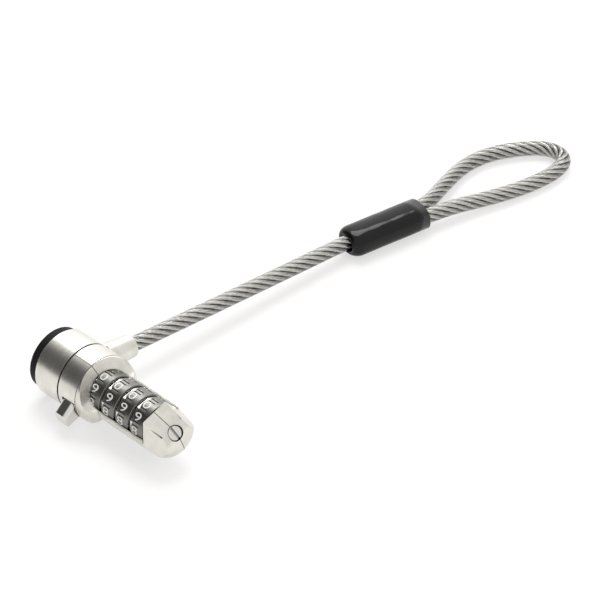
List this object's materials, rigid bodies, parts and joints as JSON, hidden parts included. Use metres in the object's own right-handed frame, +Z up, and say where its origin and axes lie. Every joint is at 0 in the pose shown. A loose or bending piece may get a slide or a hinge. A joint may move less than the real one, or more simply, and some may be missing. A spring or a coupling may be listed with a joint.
{
  "type": "laptop cable lock",
  "caption": "Push-button combination lock head on a swivel barrel, with a coated wire cable ending in a crimped loop; a T-bar locks into a laptop's security slot.",
  "frame": {"origin": "on the lock head's axis, at the rear face of the rubber pad", "axes": "+X along the head from the pad to the nose, +Y the way the cable leaves the barrel, +Z up from the surface it lies on"},
  "size_m": [0.0549, 0.1996, 0.02],
  "materials": {
    "black_rubber": "matt black",
    "steel_plate": "zinc-plated",
    "hard_steel": "hardened, ground",
    "zinc_core": "bare die cast",
    "dark_washer": "dark acetal",
    "satin_nickel": "satin nickel plate",
    "polished_chrome": "polished",
    "spring_steel": "bright",
    "brass_parts": "machined",
    "coated_rope": "wire rope in a clear vinyl coat",
    "black_sleeve": "gloss black",
    "wheel_metal": "satin nickel plate",
    "number_black": "satin black with white digits"
  },
  "bodies": {
    "swivel": {"swivel_barrel": "satin_nickel", "swage_stop": "hard_steel", "cable": "coated_rope", "crimp_ferrule": "zinc_core", "sleeve_cover": "black_sleeve"},
    "head": {"rubber_pad": "black_rubber", "rear_plate": "steel_plate", "plate_screws": "steel_plate", "anti_rotation_pins": "hard_steel", "core_tube": "zinc_core", "swivel_washer": "dark_washer", "housing_left": "satin_nickel", "housing_right": "satin_nickel", "housing_dowels": "hard_steel", "wheel_sleeve": "brass_parts", "reset_clip": "spring_steel", "shaft_spring": "spring_steel", "button_spring": "spring_steel", "detent_washer_1": "spring_steel", "detent_washer_2": "spring_steel", "detent_washer_3": "spring_steel", "detent_washer_4": "spring_steel"},
    "lock_bar": {"t_bar": "hard_steel", "crank_disc": "hard_steel"},
    "button": {"push_button": "polished_chrome", "button_slide": "zinc_core"},
    "code_shaft": {"code_shaft": "brass_parts"},
    "reset_screw": {"reset_screw": "polished_chrome"},
    "wheel_1": {"wheel_hub_1": "wheel_metal", "number_ring_1": "number_black", "code_ring_1": "brass_parts"},
    "wheel_2": {"wheel_hub_2": "wheel_metal", "number_ring_2": "number_black", "code_ring_2": "brass_parts"},
    "wheel_3": {"wheel_hub_3": "wheel_metal", "number_ring_3": "number_black", "code_ring_3": "brass_parts"},
    "wheel_4": {"wheel_hub_4": "wheel_metal", "number_ring_4": "number_black", "code_ring_4": "brass_parts"}
  },
  "joints": [
    {"name": "swivel_turn", "type": "hinge", "parent": "swivel", "child": "head", "pos_m": [0, 0, 0], "axis": [1, 0, 0], "continuous": true},
    {"name": "button_press", "type": "slide", "parent": "head", "child": "button", "axis": [0, 0.9336, 0.3584], "range_m": [0, 0.00354], "stiffness_N_per_m": 300, "springref_m": -0.002, "deforming": ["button_spring"]},
    {"name": "lock_bar_turn", "type": "hinge", "parent": "head", "child": "lock_bar", "pos_m": [0, 0, 0], "axis": [-1, 0, 0], "range_deg": [0, 90.1]},
    {"name": "code_shaft_slide", "type": "slide", "parent": "head", "child": "code_shaft", "axis": [1, 0, 0], "range_m": [0, 0.0012], "deforming": ["shaft_spring"]},
    {"name": "reset_screw_turn", "type": "hinge", "parent": "head", "child": "reset_screw", "pos_m": [0.05045, -0.0007, 0.00182], "axis": [0.8387, -0.1952, 0.5085], "range_deg": [0, 90]},
    {"name": "wheel_1_turn", "type": "hinge", "parent": "head", "child": "wheel_1", "pos_m": [0.0235, 0, 0], "axis": [1, 0, 0], "continuous": true},
    {"name": "wheel_2_turn", "type": "hinge", "parent": "head", "child": "wheel_2", "pos_m": [0.0294, 0, 0], "axis": [1, 0, 0], "continuous": true},
    {"name": "wheel_3_turn", "type": "hinge", "parent": "head", "child": "wheel_3", "pos_m": [0.0353, 0, 0], "axis": [1, 0, 0], "continuous": true},
    {"name": "wheel_4_turn", "type": "hinge", "parent": "head", "child": "wheel_4", "pos_m": [0.0412, 0, 0], "axis": [1, 0, 0], "continuous": true}
  ],
  "couplings": [
    {"joint": "lock_bar_turn", "follows": "button_press", "rad_per_m": 444.28},
    {"joint": "code_shaft_slide", "follows": "button_press", "ratio": 0.3394}
  ]
}
